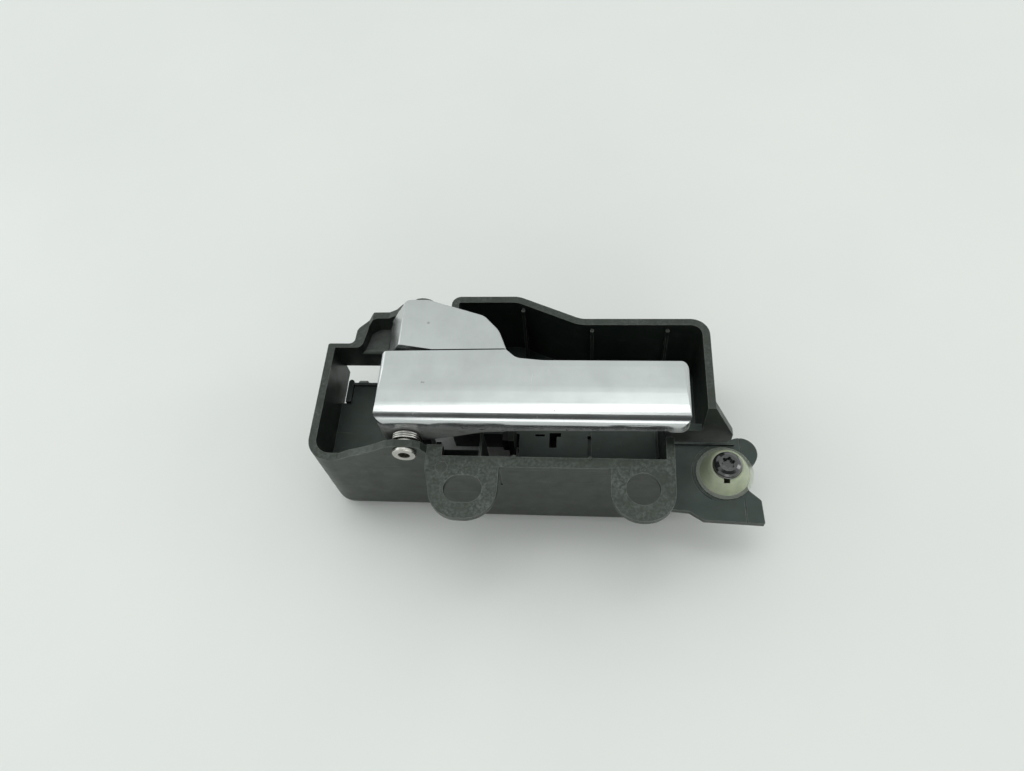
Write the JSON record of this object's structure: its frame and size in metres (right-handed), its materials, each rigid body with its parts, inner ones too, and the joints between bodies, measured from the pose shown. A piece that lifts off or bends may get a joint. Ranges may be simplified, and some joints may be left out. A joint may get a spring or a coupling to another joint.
{
  "type": "car interior door handle",
  "caption": "Interior door release handle: open moulded housing with two screw ears, a chrome pull lever and a chrome lock lever turning on one hollow pin.",
  "frame": {"origin": "middle of the base, on the plane the part rests on", "axes": "+Z out of the door towards the user, +X towards the free end of the main lever, -Y towards the two screw ears"},
  "size_m": [0.1507, 0.0878, 0.0594],
  "materials": {
    "housing_plastic": "moulded black PP, fine grain, scuffed",
    "carrier_plastic": "glass-filled nylon, black",
    "satin_chrome": "satin chrome plating with fine handling marks",
    "zinc_steel": "zinc-plated steel",
    "spring_steel": "bright spring steel",
    "black_steel": "black e-coated steel, semi-gloss",
    "nylon": "natural nylon, slightly translucent",
    "acetal": "white acetal",
    "rubber": "black rubber"
  },
  "bodies": {
    "housing": {"housing": "housing_plastic", "pivot_pin": "zinc_steel", "near_thrust_washer": "zinc_steel", "spacer_washer": "acetal", "wave_washer": "spring_steel", "main_return_spring": "spring_steel", "lock_detent_spring": "spring_steel", "detent_rivet": "zinc_steel", "rest_bumper": "rubber", "open_stop_pad": "rubber", "lock_stop_pad": "rubber", "nylon_bush": "nylon", "fixing_screw": "black_steel", "screw_retainer": "acetal"},
    "main_lever": {"main_lever_grip": "satin_chrome", "main_lever_carrier": "carrier_plastic", "main_bush_near": "acetal", "main_bush_far": "acetal", "main_grip_screws": "zinc_steel"},
    "lock_lever": {"lock_lever_grip": "satin_chrome", "lock_lever_carrier": "carrier_plastic", "lock_bush_near": "acetal", "lock_bush_far": "acetal", "lock_grip_screw": "zinc_steel"}
  },
  "joints": [
    {"name": "main_lever_pivot", "type": "hinge", "parent": "housing", "child": "main_lever", "pos_m": [-0.0405, 0, 0.0472], "axis": [0, -1, 0], "range_deg": [0, 48], "stiffness_Nm_per_rad": 0.12, "springref_deg": -28.65, "deforming": ["main_return_spring"]},
    {"name": "lock_lever_pivot", "type": "hinge", "parent": "housing", "child": "lock_lever", "pos_m": [-0.0405, 0, 0.0472], "axis": [0, -1, 0], "range_deg": [-18, 0], "deforming": ["lock_detent_spring"]}
  ]
}
